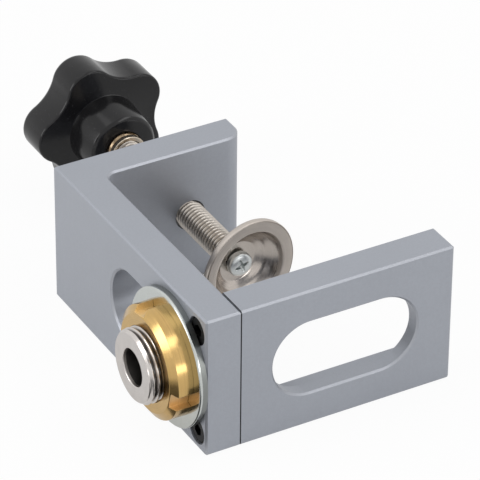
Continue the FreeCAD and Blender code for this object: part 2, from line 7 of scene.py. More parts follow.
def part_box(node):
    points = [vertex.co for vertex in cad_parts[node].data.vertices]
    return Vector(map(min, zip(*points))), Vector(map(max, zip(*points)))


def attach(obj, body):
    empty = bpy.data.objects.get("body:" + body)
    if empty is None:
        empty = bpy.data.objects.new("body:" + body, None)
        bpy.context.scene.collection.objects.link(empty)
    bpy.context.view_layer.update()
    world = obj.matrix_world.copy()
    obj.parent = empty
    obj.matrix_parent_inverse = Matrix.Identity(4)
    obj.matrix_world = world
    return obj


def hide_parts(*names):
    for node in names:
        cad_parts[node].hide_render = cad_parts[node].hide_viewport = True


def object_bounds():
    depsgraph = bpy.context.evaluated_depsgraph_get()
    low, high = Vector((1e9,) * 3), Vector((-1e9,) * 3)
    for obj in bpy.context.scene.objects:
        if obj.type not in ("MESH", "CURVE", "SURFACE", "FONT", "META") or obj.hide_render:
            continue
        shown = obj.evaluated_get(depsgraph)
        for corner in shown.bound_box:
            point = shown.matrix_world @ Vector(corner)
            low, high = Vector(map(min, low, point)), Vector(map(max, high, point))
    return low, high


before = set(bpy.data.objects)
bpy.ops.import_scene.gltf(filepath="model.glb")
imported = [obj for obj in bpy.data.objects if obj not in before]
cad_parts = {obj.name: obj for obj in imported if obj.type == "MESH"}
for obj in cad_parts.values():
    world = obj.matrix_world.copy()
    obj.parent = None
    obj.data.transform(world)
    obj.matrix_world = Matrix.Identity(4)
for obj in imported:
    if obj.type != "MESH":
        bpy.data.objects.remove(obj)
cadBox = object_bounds()
mm = 0.001
print("frame loaded:", len(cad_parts), "solids")


# shader maths: a wrapped socket can be added, multiplied and so on in plain Python
class Value:
    def __init__(self, tree, socket):
        self.tree = tree
        self.socket = socket

    def maths(self, operation, *values):
        node = self.tree.nodes.new("ShaderNodeMath")
        node.operation = operation
        for entry, value in zip(node.inputs, values):
            if isinstance(value, Value):
                self.tree.links.new(value.socket, entry)
            else:
                entry.default_value = value
        return Value(self.tree, node.outputs[0])

    def __add__(self, other):
        return self.maths("ADD", self, other)

    def __radd__(self, other):
        return self.maths("ADD", other, self)

    def __sub__(self, other):
        return self.maths("SUBTRACT", self, other)

    def __rsub__(self, other):
        return self.maths("SUBTRACT", other, self)

    def __mul__(self, other):
        return self.maths("MULTIPLY", self, other)

    def __rmul__(self, other):
        return self.maths("MULTIPLY", other, self)

    def __pow__(self, other):
        return self.maths("POWER", self, other)

    def atMost(self, other):
        return self.maths("MINIMUM", self, other)

    def atLeast(self, other):
        return self.maths("MAXIMUM", self, other)


# a node material: add() makes any node, its settings first and then its sockets
class Finish:
    def __init__(self, name, tree=None):
        self.material = None
        if tree is None:
            self.material = bpy.data.materials.new(name)
            self.material.use_nodes = True
            tree = self.material.node_tree
        self.tree = tree
        self.tree.nodes.clear()

    def add(self, kind, settings=None, sockets=None, output=0):
        node = self.tree.nodes.new(kind)
        for key, value in (settings or {}).items():
            setattr(node, key, value)
        for key, value in (sockets or {}).items():
            if isinstance(value, Value):
                self.tree.links.new(value.socket, node.inputs[key])
            else:
                node.inputs[key].default_value = value
        return Value(self.tree, node.outputs[output]) if len(node.outputs) else None

    def place(self, centre):
        # position on the piece, measured from a centre, as three values
        spot = self.add("ShaderNodeTexCoord", output="Object")
        spot = self.add("ShaderNodeVectorMath", {"operation": "SUBTRACT"},
                        {0: spot, 1: centre})
        parts = self.tree.nodes.new("ShaderNodeSeparateXYZ")
        self.tree.links.new(spot.socket, parts.inputs[0])
        return [Value(self.tree, part) for part in parts.outputs]

    def noise(self, x, y, z, detail=2.0):
        spot = self.add("ShaderNodeCombineXYZ", None, {0: x, 1: y, 2: z})
        return self.add("ShaderNodeTexNoise", None,
                        {"Vector": spot, "Scale": 1.0, "Detail": detail})

    def grain(self, spot, scale, detail=2.0):
        # noise of the same scale in every direction
        x, y, z = spot
        return self.noise(x * scale, y * scale, z * scale, detail)

    def step(self, value, low, high):
        # 0 below low, 1 above high, smooth between
        return self.add("ShaderNodeMapRange", {"interpolation_type": "SMOOTHSTEP"},
                        {"Value": value, "From Min": low, "From Max": high})

    def band(self, value, limits):
        # the same step, with its two limits in millimetres
        return self.step(value, limits[0] * mm, limits[1] * mm)

    def blend(self, factor, first, second):
        return self.add("ShaderNodeMix", {"data_type": "RGBA"},
                        {0: factor, 6: first, 7: second}, output=2)

    def bump(self, height, distance, strength=1.0):
        return self.add("ShaderNodeBump", None,
                        {"Height": height, "Distance": distance, "Strength": strength})

    def surface(self, sockets):
        shader = self.add("ShaderNodeBsdfPrincipled", None, sockets)
        self.add("ShaderNodeOutputMaterial", None, {"Surface": shader})
        return self.material


def shade(colour, amount):
    return (colour[0] * amount, colour[1] * amount, colour[2] * amount, 1.0)


# turned, stamped or plated metal: rings round the piece's own axis over a fine grain
metalTone = {
    "rings": 0.45, "grain": 0.25, "cloud": 0.3,  # what each counts in the colour
    "dark": 0.36, "light": 0.64,  # where their sum is darkest and lightest
    "shankSoft": 0.1, "smoothest": 0.05, "roughest": 0.9,
}


def turnedMetal(name, look, centre, axis):
    finish = Finish(name)
    spot = finish.place(centre)
    x, y, z = spot
    along, across, up = (x, y, z) if axis == "x" else (y, x, z)
    radius = (across * across + up * up) ** 0.5
    rings = finish.noise(radius * look["rings"], along * look["rings"], 0.0, 3.0)
    grain = finish.grain(spot, look["grain"])
    cloud = finish.grain(spot, look["cloud"], 4.0)
    tone = (metalTone["rings"] * rings + metalTone["grain"] * grain
            + metalTone["cloud"] * cloud)
    colour = finish.blend(finish.step(tone, metalTone["dark"], metalTone["light"]),
                          shade(look["colour"], 1 - look["vary"]),
                          shade(look["colour"], 1 + look["vary"]))
    rough = look["rough"] + look["roughVary"] * (cloud + rings - 1.0)
    if "root" in look:
        # painted shade: the bottoms of a thread are painted darker than its crests
        crest = finish.band(radius, look["root"])
        start = look["rootFrom"]
        plain = 1.0 - finish.band(along, (start, start + metalTone["shankSoft"]))
        colour = finish.blend(crest.atLeast(plain), shade(look["colour"], look["rootPaintedShade"]),
                              colour)
    if "rim" in look:
        # the outermost part is satin, the rest polished
        rough = rough + look["rimRough"] * finish.band(radius, look["rim"])
    if "reamed" in look:
        # a reamed bore scatters more of the light that falls into it
        rough = rough + look["reamedRough"] * (1.0 - finish.band(radius, look["reamed"]))
    if "mark" in look:
        # a part of the length is duller, and darker both as a sheared edge and as painted shade
        # where it meets another part
        inside = finish.band(along, look["mark"])
        colour = finish.blend(inside, colour, shade(look["colour"], look["markShade"]))
        rough = rough + look["markRough"] * inside
    height = look["ringHeight"] * rings + look["grainHeight"] * grain
    return finish.surface({
        "Base Color": colour,
        "Metallic": 1.0,
        "Roughness": rough.atLeast(metalTone["smoothest"]).atMost(metalTone["roughest"]),
        "Normal": finish.bump(height, mm),
    })


# anodised aluminium: matt, with a blasted grain and very faint lines of the saw
anodisedLook = {
    "colour": (0.352, 0.370, 0.410), "vary": 0.03, "rough": 0.42, "metallic": 0.60,
    "grain": 4200, "grainShare": 0.35, "grainHeight": 0.005,
    "speckle": 1500, "speckleShare": 0.3, "speckleRough": 0.06,
    "streak": 1900, "streakUp": 45, "streakShare": 0.1, "streakHeight": 0.0008,
    "cloud": 55, "cloudShare": 0.25, "cloudRough": 0.08, "dark": 0.38, "light": 0.62,
}


def anodised(name, look, metallic, rough, colour):
    finish = Finish(name)
    spot = finish.place((0.0, 0.0, 0.0))
    x, y, z = spot
    grain = finish.grain(spot, look["grain"])
    speckle = finish.grain(spot, look["speckle"], 1.0)
    streak = finish.noise(x * look["streak"], y * look["streak"], z * look["streakUp"])
    cloud = finish.grain(spot, look["cloud"], 4.0)
    tone = (look["grainShare"] * grain + look["speckleShare"] * speckle
            + look["streakShare"] * streak + look["cloudShare"] * cloud)
    paint = finish.blend(finish.step(tone, look["dark"], look["light"]),
                         shade(colour, 1 - look["vary"]), shade(colour, 1 + look["vary"]))
    height = look["grainHeight"] * grain + look["streakHeight"] * streak
    return finish.surface({
        "Base Color": paint,
        "Metallic": metallic,
        "Roughness": (rough + look["cloudRough"] * (cloud - 0.5)
                      + look["speckleRough"] * (speckle - 0.5)),
        "Normal": finish.bump(height, mm),
    })


def blackPlastic(name, look, centre):
    finish = Finish(name)
    spot = finish.place(centre)
    peel = finish.grain(spot, look["peel"], 1.0)
    cloud = finish.grain(spot, look["cloud"], 4.0)
    dust = finish.step(finish.grain(spot, look["specks"], 1.0), *look["fewSpecks"])
    colour = finish.blend(dust * look["dustShare"],
                          shade(look["colour"], 1.0), shade(look["dust"], 1.0))
    return finish.surface({
        "Base Color": colour,
        "Roughness": (look["rough"] + look["cloudRough"] * (cloud - 0.5)
                      + look["dustRough"] * dust),
        "IOR": look["ior"],
        "Normal": finish.bump(peel, mm, look["peelHeight"]),
    })


# lines up a piece drawn along local Z with one of the jig's two axes
def towards(direction, origin):
    if direction == "-x":
        turn = Matrix.Rotation(math.radians(-90), 4, "Y")
    else:
        turn = Matrix.Rotation(math.radians(-90), 4, "X")
    return Matrix.Translation(origin) @ turn


def spun(profile, steps, closed=True):
    # full turn of a profile given as (along, radius) in millimetres
    bm = bmesh.new()
    rings = []
    for angle in (math.tau * i / steps for i in range(steps)):
        rings.append([bm.verts.new((radius * mm * math.cos(angle),
                                    radius * mm * math.sin(angle), along * mm))
                      for along, radius in profile])
    for ring, after in zip(rings, rings[1:] + rings[:1]):
        # a closed profile also joins its last point to its first
        for i in range(0 if closed else 1, len(profile)):
            bm.faces.new((ring[i - 1], ring[i], after[i], after[i - 1]))
    bmesh.ops.remove_doubles(bm, verts=bm.verts[:], dist=1e-7)
    bmesh.ops.recalc_face_normals(bm, faces=bm.faces[:])
    return bm


def sharpEdges(bm, degrees):
    limit = math.radians(degrees)
    return [e for e in bm.edges if len(e.link_faces) == 2 and e.calc_face_angle() > limit]


def soften(bm, edges, width, segments=2, clamp=True):
    made = bmesh.ops.bevel(bm, geom=edges, offset=width * mm, offset_type="OFFSET",
                           segments=segments, profile=0.5, affect="EDGES", material=-1,
                           clamp_overlap=clamp)
    return made["faces"]


# which rings are the shank's, in mm, the crest's flat and its slopes as shares of half a
# pitch, and how fast the last turn runs out
threadForm = {"near": 0.01, "flat": 0.16, "slope": 0.68, "runOut": 4}


def cutThread(bm, look, start, end):
    # moves the rings of a spun shank in and out to a right-hand thread
    crest, depth, pitch = look["crest"], look["depth"], look["pitch"]
    for v in bm.verts:
        along = v.co.z / mm
        radius = math.hypot(v.co.x, v.co.y) / mm
        if not start < along < end or abs(radius - crest) > threadForm["near"]:
            continue
        turnAngle = math.atan2(v.co.y, v.co.x)
        phase = (along / pitch - turnAngle / math.tau) % 1.0
        flank = (abs(2 * phase - 1) - threadForm["flat"]) / threadForm["slope"]
        flank = min(max(flank, 0.0), 1.0)
        flank = min(flank, (along - start) / pitch, (end - along) / pitch * threadForm["runOut"])
        scale = (crest - depth * max(flank, 0.0)) / radius
        v.co.x *= scale
        v.co.y *= scale


def bevelEnd(bm, tip, crest, size):
    # turns one end of a thread down to a short cone
    for v in bm.verts:
        fromTip = abs(v.co.z / mm - tip)
        radius = math.hypot(v.co.x, v.co.y) / mm
        allowed = crest - size + fromTip
        if fromTip < size and radius > allowed:
            v.co.x *= allowed / radius
            v.co.y *= allowed / radius


def ringed(start, end, step, radius):
    # evenly spaced points of a shank, so that a thread can be cut in it
    count = max(2, round((end - start) / step))
    return [(start + (end - start) * i / count, radius) for i in range(count + 1)]


def finished(bm, name, body, nodes, materials, matrix=None, sharp=40.0,
             crisp=False):
    if matrix is not None:
        bmesh.ops.transform(bm, matrix=matrix, verts=bm.verts[:])
    for face in bm.faces:
        face.smooth = True
    for edge in sharpEdges(bm, sharp):
        edge.smooth = False
    # a bevel leaves its strips in another order each run, so the order is set by place
    for parts, place in ((bm.verts, lambda v: v.co), (bm.faces, lambda f: f.calc_center_bounds())):
        inOrder = sorted(parts, key=lambda part: tuple(place(part)))
        rank = {part: i for i, part in enumerate(inOrder)}
        parts.sort(key=lambda part: rank[part])
    mesh = bpy.data.meshes.new(name)
    bm.to_mesh(mesh)
    bm.free()
    for material in materials:
        mesh.materials.append(material)
    piece = bpy.data.objects.new(name, mesh)
    bpy.context.scene.collection.objects.link(piece)
    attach(piece, body)
    if crisp:
        # wide faces stay flat, and the narrow ones between them take up the turn
        weighted = piece.modifiers.new("weighted", "WEIGHTED_NORMAL")
        weighted.keep_sharp = True
        weighted.weight = 90
    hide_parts(*nodes)
    print(name, "made,", len(mesh.polygons), "faces")


def cadCopy(node):
    # a CAD solid's mesh as one closed skin
    bm = bmesh.new()
    bm.from_mesh(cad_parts[node].data)
    bmesh.ops.remove_doubles(bm, verts=bm.verts[:], dist=1e-6)
    return bm


def repaint(node, material):
    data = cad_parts[node].data
    data.materials.clear()
    data.materials.append(material)


# plate with arm, and the fence: broken edges painted brighter as a painted highlight, and a joint
# painted near black as painted shade where they meet
edgeLook = {
    "colour": (0.38, 0.395, 0.43), "rough": 0.40, "metallic": 0.80, "small": 0.10,
    "sharp": 60, "facing": 0.5, "even": 0.02, "aside": 0.2,
}
# painted shade: the joint's near black colour stands for the shadow in the narrow gap
seamLook = {
    "colour": (0.012, 0.012, 0.014), "rough": 0.7, "metallic": 0.0, "width": 0.18,
    "sharp": 30, "close": 0.02, "corner": 0.6,
}
plateMaterial = anodised("anodisedPlate", anodisedLook, anodisedLook["metallic"],
                         anodisedLook["rough"], anodisedLook["colour"])
# painted highlight: the broken edges' material is brighter than the faces'
edgeHighlightMaterial = anodised("brokenEdgePaintedHighlight", anodisedLook, edgeLook["metallic"],
                        edgeLook["rough"], edgeLook["colour"])
seamMaterial = anodised("shadedJoint", anodisedLook, seamLook["metallic"],
                        seamLook["rough"], seamLook["colour"])
fenceLow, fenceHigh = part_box("fence_plate")


def onJoint(spots):
    # true where every spot lies on the outer edge of the face between plate and fence
    close, corner = seamLook["close"] * mm, seamLook["corner"] * mm
    onFace = all(abs(spot.x - fenceLow.x) < close and spot.y < fenceHigh.y + close
                 for spot in spots)
    return onFace and (all(spot.y < fenceLow.y + close for spot in spots)
                       or all(spot.z > fenceHigh.z - corner for spot in spots)
                       or all(spot.z < fenceLow.z + corner for spot in spots))


def getsPaintedEdgeHighlight(face):
    # painted highlight: slanted broken edges get a brighter colour, but the long upper edge on the
    # bush's side keeps the colour of the faces beside it
    normal, even, aside = face.normal, edgeLook["even"], edgeLook["aside"]
    if normal.x < -edgeLook["facing"] and normal.z > edgeLook["facing"]:
        return False
    slanted = any(abs(abs(part) - math.sqrt(0.5)) < even for part in normal)
    upright = abs(normal.z) < even and abs(normal.x) > aside and abs(normal.y) > aside
    return slanted and (not upright or face.calc_center_median().y < fenceHigh.y)


for node, piece in (("body", "plateAndArm"), ("fence_plate", "fence")):
    bm = cadCopy(node)
    dark = bm.faces.layers.int.new("dark")
    joint = [e for e in sharpEdges(bm, seamLook["sharp"]) if onJoint([v.co for v in e.verts])]
    # painted shade: the joint's strips are painted near black for the shadow in the gap between
    # plate and fence
    for face in soften(bm, joint, seamLook["width"], 1, clamp=False):
        face[dark] = 1
    soften(bm, sharpEdges(bm, edgeLook["sharp"]), edgeLook["small"], 1)
    bm.normal_update()
    for face in bm.faces:
        face.material_index = 2 if face[dark] else (1 if getsPaintedEdgeHighlight(face) else 0)
    finished(bm, piece, "jig", (node,),
             [plateMaterial, edgeHighlightMaterial, seamMaterial], sharp=25.0)

# black screws in the plate's end
blackLook = {
    "colour": (0.020, 0.020, 0.021), "vary": 0.3, "rough": 0.42, "roughVary": 0.2,
    "rings": 5000, "grain": 3000, "cloud": 400, "ringHeight": 0.003, "grainHeight": 0.004,
}
for node in ("fence_screw_upper", "fence_screw_lower"):
    low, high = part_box(node)
    repaint(node, turnedMetal(node, blackLook, (low + high) / 2, "x"))

# drill bush: turned steel with a flange, a fine thread and a smooth bore
bushLow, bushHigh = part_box("drill_bush")
bushAxis = (bushLow + bushHigh) / 2
bushLook = {
    "colour": (0.60, 0.565, 0.54), "vary": 0.08, "rough": 0.20, "roughVary": 0.16,
    "rings": 5200, "grain": 5000, "cloud": 300, "ringHeight": 0.004, "grainHeight": 0.002,
    # painted shade: the thread's roots are painted darker
    "root": (9.1, 9.7), "rootPaintedShade": 0.20, "rootFrom": 0.9,
    "reamed": (5.03, 5.12), "reamedRough": 0.15,
    "flangeRadius": 12.0, "flangeThick": 3.0, "boreRadius": 5.0, "boreRound": 0.3,
    "crest": 9.9, "depth": 0.86, "pitch": 1.5, "nose": 0.85, "threadFrom": 9.0,
    "steps": 120, "threadStep": 0.09, "tipEdge": 0.05, "sharp": 60, "runIn": 0.2, "beyond": 5,
}
bushLong = (bushHigh.x - bushLow.x) / mm
crest = bushLook["crest"]
bushProfile = [(0, bushLook["boreRadius"]), (0, bushLook["flangeRadius"]),
               (bushLook["flangeThick"], bushLook["flangeRadius"]),
               (bushLook["flangeThick"], crest)]
bushProfile += ringed(bushLook["threadFrom"], bushLong - bushLook["tipEdge"],
                      bushLook["threadStep"], crest)
bushProfile += [(bushLong, crest - bushLook["tipEdge"]), (bushLong, bushLook["boreRadius"])]
bm = spun(bushProfile, bushLook["steps"])
boreRims = [e for e in sharpEdges(bm, bushLook["sharp"])
            if max(math.hypot(v.co.x, v.co.y) / mm for v in e.verts)
            < bushLook["boreRadius"] + bushLook["boreRound"]]
soften(bm, boreRims, bushLook["boreRound"], 3)
cutThread(bm, bushLook, bushLook["threadFrom"] - bushLook["runIn"],
          bushLong + bushLook["beyond"])
bevelEnd(bm, bushLong, crest, bushLook["nose"])
bm.normal_update()
finished(bm, "drillBush", "bush", ("drill_bush",),
         [turnedMetal("turnedSteel", bushLook, (bushLow.x, bushAxis.y, bushAxis.z), "x")],
         towards("-x", (bushHigh.x, bushAxis.y, bushAxis.z)))

# zinc plated washer: rounded front edge, and a duller sheared half towards the plate, painted
# darker as a sheared edge and as painted shade against the plate
washerLow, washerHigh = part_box("washer")
washerLook = {
    "colour": (0.56, 0.585, 0.565), "vary": 0.04, "rough": 0.16, "roughVary": 0.08,
    "rings": 900, "grain": 3600, "cloud": 500, "ringHeight": 0.001, "grainHeight": 0.0015,
    "mark": (0.75, 0.85), "markShade": 0.45, "markRough": 0.25,
    "hole": 10.4, "thick": 2.2, "edge": 0.4, "small": 0.12, "shear": 1.4, "lip": 0.10,
    "lipLong": 0.05, "steps": 160, "sharp": 60, "near": 0.01, "rimFrom": 15,
}
washerRadius = (washerHigh.y - washerLow.y) / 2 / mm
thick = washerLook["thick"]
bm = spun([(0, washerLook["hole"]), (0, washerRadius - washerLook["lip"]),
           (washerLook["shear"], washerRadius - washerLook["lip"]),
           (washerLook["shear"] + washerLook["lipLong"], washerRadius),
           (thick, washerRadius), (thick, washerLook["hole"])], washerLook["steps"])
frontRims = [e for e in sharpEdges(bm, washerLook["sharp"])
             if all(v.co.z / mm > thick - washerLook["near"]
                    and math.hypot(v.co.x, v.co.y) / mm > washerLook["rimFrom"]
                    for v in e.verts)]
soften(bm, frontRims, washerLook["edge"], 6)
soften(bm, sharpEdges(bm, washerLook["sharp"]), washerLook["small"], 2)
washerAxis = (washerLow.x, (washerLow.y + washerHigh.y) / 2, (washerLow.z + washerHigh.z) / 2)
finished(bm, "washer_ring", "washer", ("washer",),
         [turnedMetal("zincPlate", washerLook, washerAxis, "x")],
         towards("-x", (washerHigh.x, washerAxis[1], washerAxis[2])))

# slotted lock nut in turned brass; its slots are painted lighter as painted light, and the slot
# that faces up lighter still as painted light from above
nutLook = {
    "colour": (0.58, 0.385, 0.150), "vary": 0.08, "rough": 0.20, "roughVary": 0.14,
    "rings": 2600, "grain": 4200, "cloud": 260, "ringHeight": 0.002, "grainHeight": 0.001,
    "edge": 0.12, "slotPaintedLightTint": (0.78, 0.54, 0.28), "slotRough": 0.42,
    "upperSlotPaintedLightTint": (0.82, 0.63, 0.35), "slotFloor": 12.9, "slotTop": 14.75,
    "slotFacing": 0.3, "flat": 1.0, "sharp": 28,
}
nutLow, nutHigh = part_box("lock_nut")
bm = cadCopy("lock_nut")
bmesh.ops.dissolve_limit(bm, angle_limit=math.radians(nutLook["flat"]), verts=bm.verts[:],
                         edges=bm.edges[:], use_dissolve_boundaries=False)
soften(bm, sharpEdges(bm, nutLook["sharp"]), nutLook["edge"], 2)
bm.normal_update()
nutAxis = (nutLow.x, bushAxis.y, bushAxis.z)
for face in bm.faces:
    # the slots are duller than the turned faces, and painted lighter as painted light bouncing in
    # them; the slot that faces up gets a lighter copy as painted light from above
    middle = face.calc_center_median()
    radius = math.hypot(middle.y - nutAxis[1], middle.z - nutAxis[2]) / mm
    slotGetsPaintedLight = (abs(face.normal.x) < nutLook["slotFacing"]
              and nutLook["slotFloor"] < radius < nutLook["slotTop"])
    face.material_index = 0 if not slotGetsPaintedLight else (2 if middle.z > nutAxis[2] else 1)
# painted light: lighter brass colours for the slots, and a lighter one still for the upper slot
slotPaintedLightLook = dict(nutLook, colour=nutLook["slotPaintedLightTint"], rough=nutLook["slotRough"])
upperSlotPaintedLightLook = dict(slotPaintedLightLook, colour=nutLook["upperSlotPaintedLightTint"])
finished(bm, "lockNut", "nut", ("lock_nut",),
         [turnedMetal("turnedBrass", nutLook, nutAxis, "x"),
          turnedMetal("slotBrassWithPaintedLight", slotPaintedLightLook, nutAxis, "x"),
          turnedMetal("upperSlotBrassWithPaintedLight", upperSlotPaintedLightLook, nutAxis, "x")],
         sharp=50.0, crisp=True)

# clamp screw: full length of coarse thread
rodLow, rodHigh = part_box("clamp_screw")
rodAxis = (rodLow + rodHigh) / 2
rodLook = {
    "colour": (0.56, 0.515, 0.465), "vary": 0.08, "rough": 0.30, "roughVary": 0.16,
    "rings": 2400, "grain": 5200, "cloud": 420, "ringHeight": 0.003, "grainHeight": 0.003,
    # painted shade: the thread's roots are painted darker
    "root": (3.2, 3.75), "rootPaintedShade": 0.30, "rootFrom": 0.0,
    "crest": 3.9, "depth": 0.74, "pitch": 1.25, "bevel": 0.9, "threadTo": 62.0,
    "tapped": 2.05, "tappedLong": 11, "steps": 56, "threadStep": 0.125, "first": 0.02,
    "tipEdge": 1, "beyond": 3.0, "runOut": 0.1,
}
rodLong = (rodHigh.y - rodLow.y) / mm
crest = rodLook["crest"]
rodProfile = [(0, rodLook["tapped"])]
rodProfile += ringed(rodLook["first"], rodLook["threadTo"], rodLook["threadStep"], crest)
rodProfile += [(rodLong - rodLook["tipEdge"], crest), (rodLong, crest - rodLook["tipEdge"]),
               (rodLong, 0), (rodLook["tappedLong"], 0),
               (rodLook["tappedLong"], rodLook["tapped"])]
bm = spun(rodProfile, rodLook["steps"])
cutThread(bm, rodLook, -rodLook["beyond"], rodLook["threadTo"] - rodLook["runOut"])
bevelEnd(bm, 0.0, crest, rodLook["bevel"])
bm.normal_update()
finished(bm, "clampScrew", "clamp", ("clamp_screw",),
         [turnedMetal("nickelThread", rodLook, (rodAxis.x, rodLow.y, rodAxis.z), "y")],
         towards("+y", (rodAxis.x, rodLow.y, rodAxis.z)))

# pressure cup: a pressed bowl with a flat rim, hanging askew on its screw
cupLook = {
    "colour": (0.50, 0.455, 0.415), "vary": 0.06, "rough": 0.23, "roughVary": 0.12,
    "rings": 1500, "grain": 4200, "cloud": 240, "ringHeight": 0.0015, "grainHeight": 0.0015,
    "rim": (10.8, 11.2), "rimRough": 0.22,
    "leanSide": 8.2, "leanUp": 0.5, "pivotBehindRim": 6.2, "pivotBehindHead": 3.4,
    "steps": 128,
}
cupProfile = [  # from the rim's front into the bowl, and back along its outside
    (0.34, 14.05), (0.10, 13.98), (0.0, 13.86), (0.16, 13.76), (0.0, 13.66),
    (0.0, 11.30), (0.05, 11.02), (0.22, 10.80),
    (0.55, 10.66), (1.20, 10.42), (2.00, 9.94), (2.80, 9.22), (3.45, 8.46), (3.90, 8.00),
    (4.16, 7.76), (4.40, 7.45), (4.90, 6.66), (5.30, 6.04), (5.52, 5.70), (5.60, 5.35),
    (5.60, 2.75), (5.70, 2.70), (6.70, 2.70), (6.80, 2.80), (6.80, 5.50), (6.65, 6.15),
    (5.90, 7.35), (5.10, 8.70), (4.20, 9.65), (3.20, 10.45), (2.30, 11.00), (1.90, 11.25),
    (1.80, 11.55), (1.80, 13.75), (1.65, 13.98), (1.40, 14.05),
]
headLow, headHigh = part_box("cup_screw")
cupPivot = Vector((rodAxis.x, headLow.y + cupLook["pivotBehindHead"] * mm, rodAxis.z))
lean = (Matrix.Rotation(math.radians(cupLook["leanSide"]), 4, "Z")
        @ Matrix.Rotation(math.radians(-cupLook["leanUp"]), 4, "X"))
hung = towards("+y", (0, -cupLook["pivotBehindRim"] * mm, 0))
bm = spun(cupProfile, cupLook["steps"])
finished(bm, "pressureCup", "cup", ("pressure_cup",),
         [turnedMetal("pressedNickel", cupLook, cupPivot, "y")],
         Matrix.Translation(cupPivot) @ lean @ hung, sharp=50.0)

# pan head screw with a cross recess
headLook = {
    "colour": (0.62, 0.645, 0.64), "vary": 0.08, "rough": 0.30, "roughVary": 0.16,
    "rings": 1200, "grain": 4200, "cloud": 600, "ringHeight": 0.001, "grainHeight": 0.004,
    "radius": 3.4, "high": 2.2, "dome": 0.62, "domeWide": 0.93, "domeSteps": 30,
    "shoulder": 0.75, "shoulderWide": 0.975, "side": 1.1, "small": 0.1,
    "thread": 1.95, "shankStep": 0.3, "tip": 0.4, "steps": 96,
    "armLong": 2.0, "armWide": 0.46, "armTip": 0.55, "armEnd": 2.2, "wall": 0.16,
    "recess": 1.35, "recessTo": 0.7, "turned": -19.0,
}


def panHead(look):
    # a domed head drawn face down, its cross pressed in from below
    radius, high, small = look["radius"], look["high"], look["small"]
    dome = [(0.0, 0.0)]
    for i in range(1, look["domeSteps"] + 1):
        r = look["domeWide"] * radius * i / look["domeSteps"]
        dome.append((look["dome"] * (r / radius) ** 4, r))
    side = [(look["shoulder"], look["shoulderWide"] * radius), (look["side"], radius),
            (high - small, radius), (high, radius - small), (high, look["thread"])]
    length = (headHigh.y - headLow.y) / mm
    shank = ringed(high + small, length - look["tip"], look["shankStep"], look["thread"])
    end = [(length, look["thread"] - look["tip"]), (length, 0)]
    bm = spun(dome + side + shank + end, look["steps"], False)
    spin = math.radians(look["turned"])
    for v in bm.verts:
        if v.co.z / mm > look["recessTo"]:
            continue
        x, y = v.co.x / mm, v.co.y / mm
        u = x * math.cos(spin) + y * math.sin(spin)
        w = y * math.cos(spin) - x * math.sin(spin)
        deep = 0.0
        for a, b in ((abs(u), abs(w)), (abs(w), abs(u))):
            reach = max(0.0, 1 - a / look["armLong"])
            wide = look["armWide"] * (look["armTip"] + (1 - look["armTip"]) * reach)
            wall = min(1.0, max(0.0, (wide - b) / look["wall"] + 0.5))
            deep = max(deep, wall * min(1.0, reach * look["armEnd"]))
        v.co.z += look["recess"] * deep * mm
    bmesh.ops.recalc_face_normals(bm, faces=bm.faces[:])
    return bm


bm = panHead(headLook)
finished(bm, "cupScrew", "clamp", ("cup_screw",),
         [turnedMetal("zincHead", headLook, (rodAxis.x, headLow.y, rodAxis.z), "y")],
         towards("+y", (rodAxis.x, headLow.y, rodAxis.z)))

# star knob: five round lobes, a tapered hub with a bevelled end
knobLow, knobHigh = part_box("star_knob")
knobLook = {
    "colour": (0.0055, 0.0053, 0.006), "rough": 0.17, "ior": 1.40,
    "peel": 420, "peelHeight": 0.02, "cloud": 90, "cloudRough": 0.09,
    "dust": (0.08, 0.08, 0.08), "dustShare": 0.35, "dustRough": 0.25,
    "specks": 2600, "fewSpecks": (0.70, 0.78),
    "lobes": 5, "reach": 19.6, "lobeRadius": 7.0, "valley": 15.7, "turned": 34.5,
    "hubLong": 11.7, "hubTip": 9.6, "hubRoot": 10.4, "hubBevel": 0.9, "hubEdge": 0.10,
    "foot": ((0.4, 0.0), (0.1, 0.07), (0.0, 0.25)),  # before the hub's root, and wider by
    "seat": 5.15, "seatDeep": 9.0, "seatEdge": 0.25, "edgeCurve": 0.7,
    "frontRound": 0.7, "frontSteps": 6, "backRound": 2.0, "backSteps": 10, "steps": 300,
}


def starRadius(look, angle, inset):
    # edge of the star in one direction, moved inwards by inset
    half = math.pi / look["lobes"]
    centre = look["reach"] - look["lobeRadius"]
    valley, lobe = look["valley"], look["lobeRadius"]
    hollow = ((valley ** 2 + centre ** 2 - lobe ** 2 - 2 * valley * centre * math.cos(half))
              / (2 * (lobe + centre * math.cos(half) - valley)))
    far = valley + hollow
    fromLobe = abs((angle + half) % (2 * half) - half)
    touchY = lobe * far * math.sin(half)
    touchX = lobe * (far * math.cos(half) - centre)
    span = lobe + hollow
    touch = math.atan2(touchY / span, centre + touchX / span)
    if fromLobe < touch:
        return (centre * math.cos(fromLobe)
                + math.sqrt((lobe - inset) ** 2 - (centre * math.sin(fromLobe)) ** 2))
    fromValley = half - fromLobe
    return (far * math.cos(fromValley)
            - math.sqrt((hollow + inset) ** 2 - (far * math.sin(fromValley)) ** 2))


def quarterRound(start, towardsBack, size, count):
    # along and inset of a quarter round, from the flat face to the side or back again
    steps = [(start + size * (1 - math.sin(a)) * (1 if towardsBack else -1),
              size * (1 - math.cos(a)))
             for a in (math.pi / 2 * i / count for i in range(count + 1))]
    return steps[::-1] if towardsBack else steps


